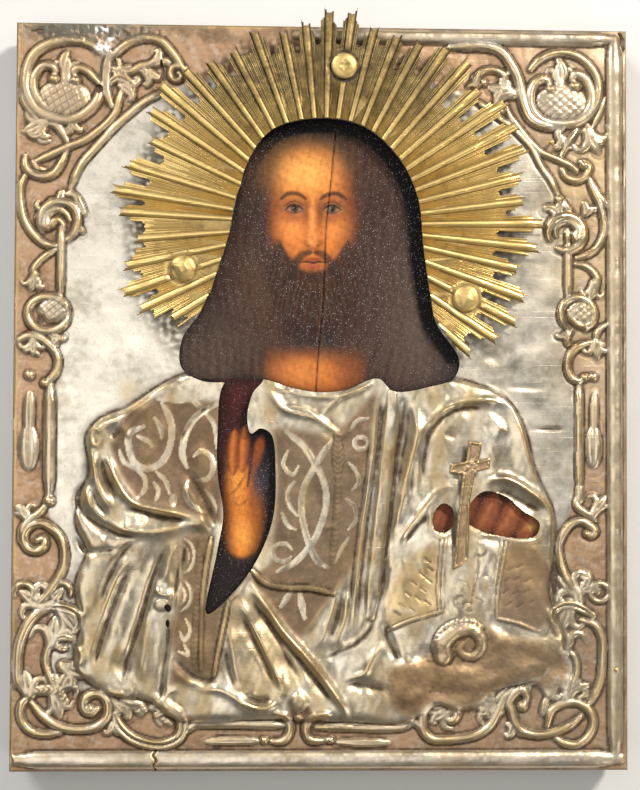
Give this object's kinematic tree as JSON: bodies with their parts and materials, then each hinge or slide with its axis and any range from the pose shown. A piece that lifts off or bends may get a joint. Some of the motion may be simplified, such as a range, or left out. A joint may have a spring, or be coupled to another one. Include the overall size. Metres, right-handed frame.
{
  "type": "icon panel with embossed metal cover",
  "caption": "Painted board under an embossed silvered cover with scroll border, open over face and hands, a separate ray nimbus with domed bosses and a small cross.",
  "frame": {"origin": "middle of the panel's back, below the middle of its box, on the surface that it lies on", "axes": "+Z out of the front, +Y towards the top edge and the nimbus, +X to the right seen from the front"},
  "size_m": [0.2218, 0.2744, 0.0318],
  "materials": {
    "board": "aged wood, painted and varnished on the front",
    "cover": "silvered brass, worn to copper brown between the scrolls",
    "nimbus": "stamped yellow brass, darkened in the recesses",
    "boss": "domed and facetted, polished by touch",
    "cross": "dull bronze-brown",
    "nail": "dull, dirty"
  },
  "bodies": {
    "root": {"board": "board", "cover": "cover", "nimbus": "nimbus", "boss_top": "boss", "boss_left": "boss", "boss_right": "boss", "hand_cross": "cross", "nail_upper": "nail", "nail_lower": "nail"}
  },
  "joints": []
}
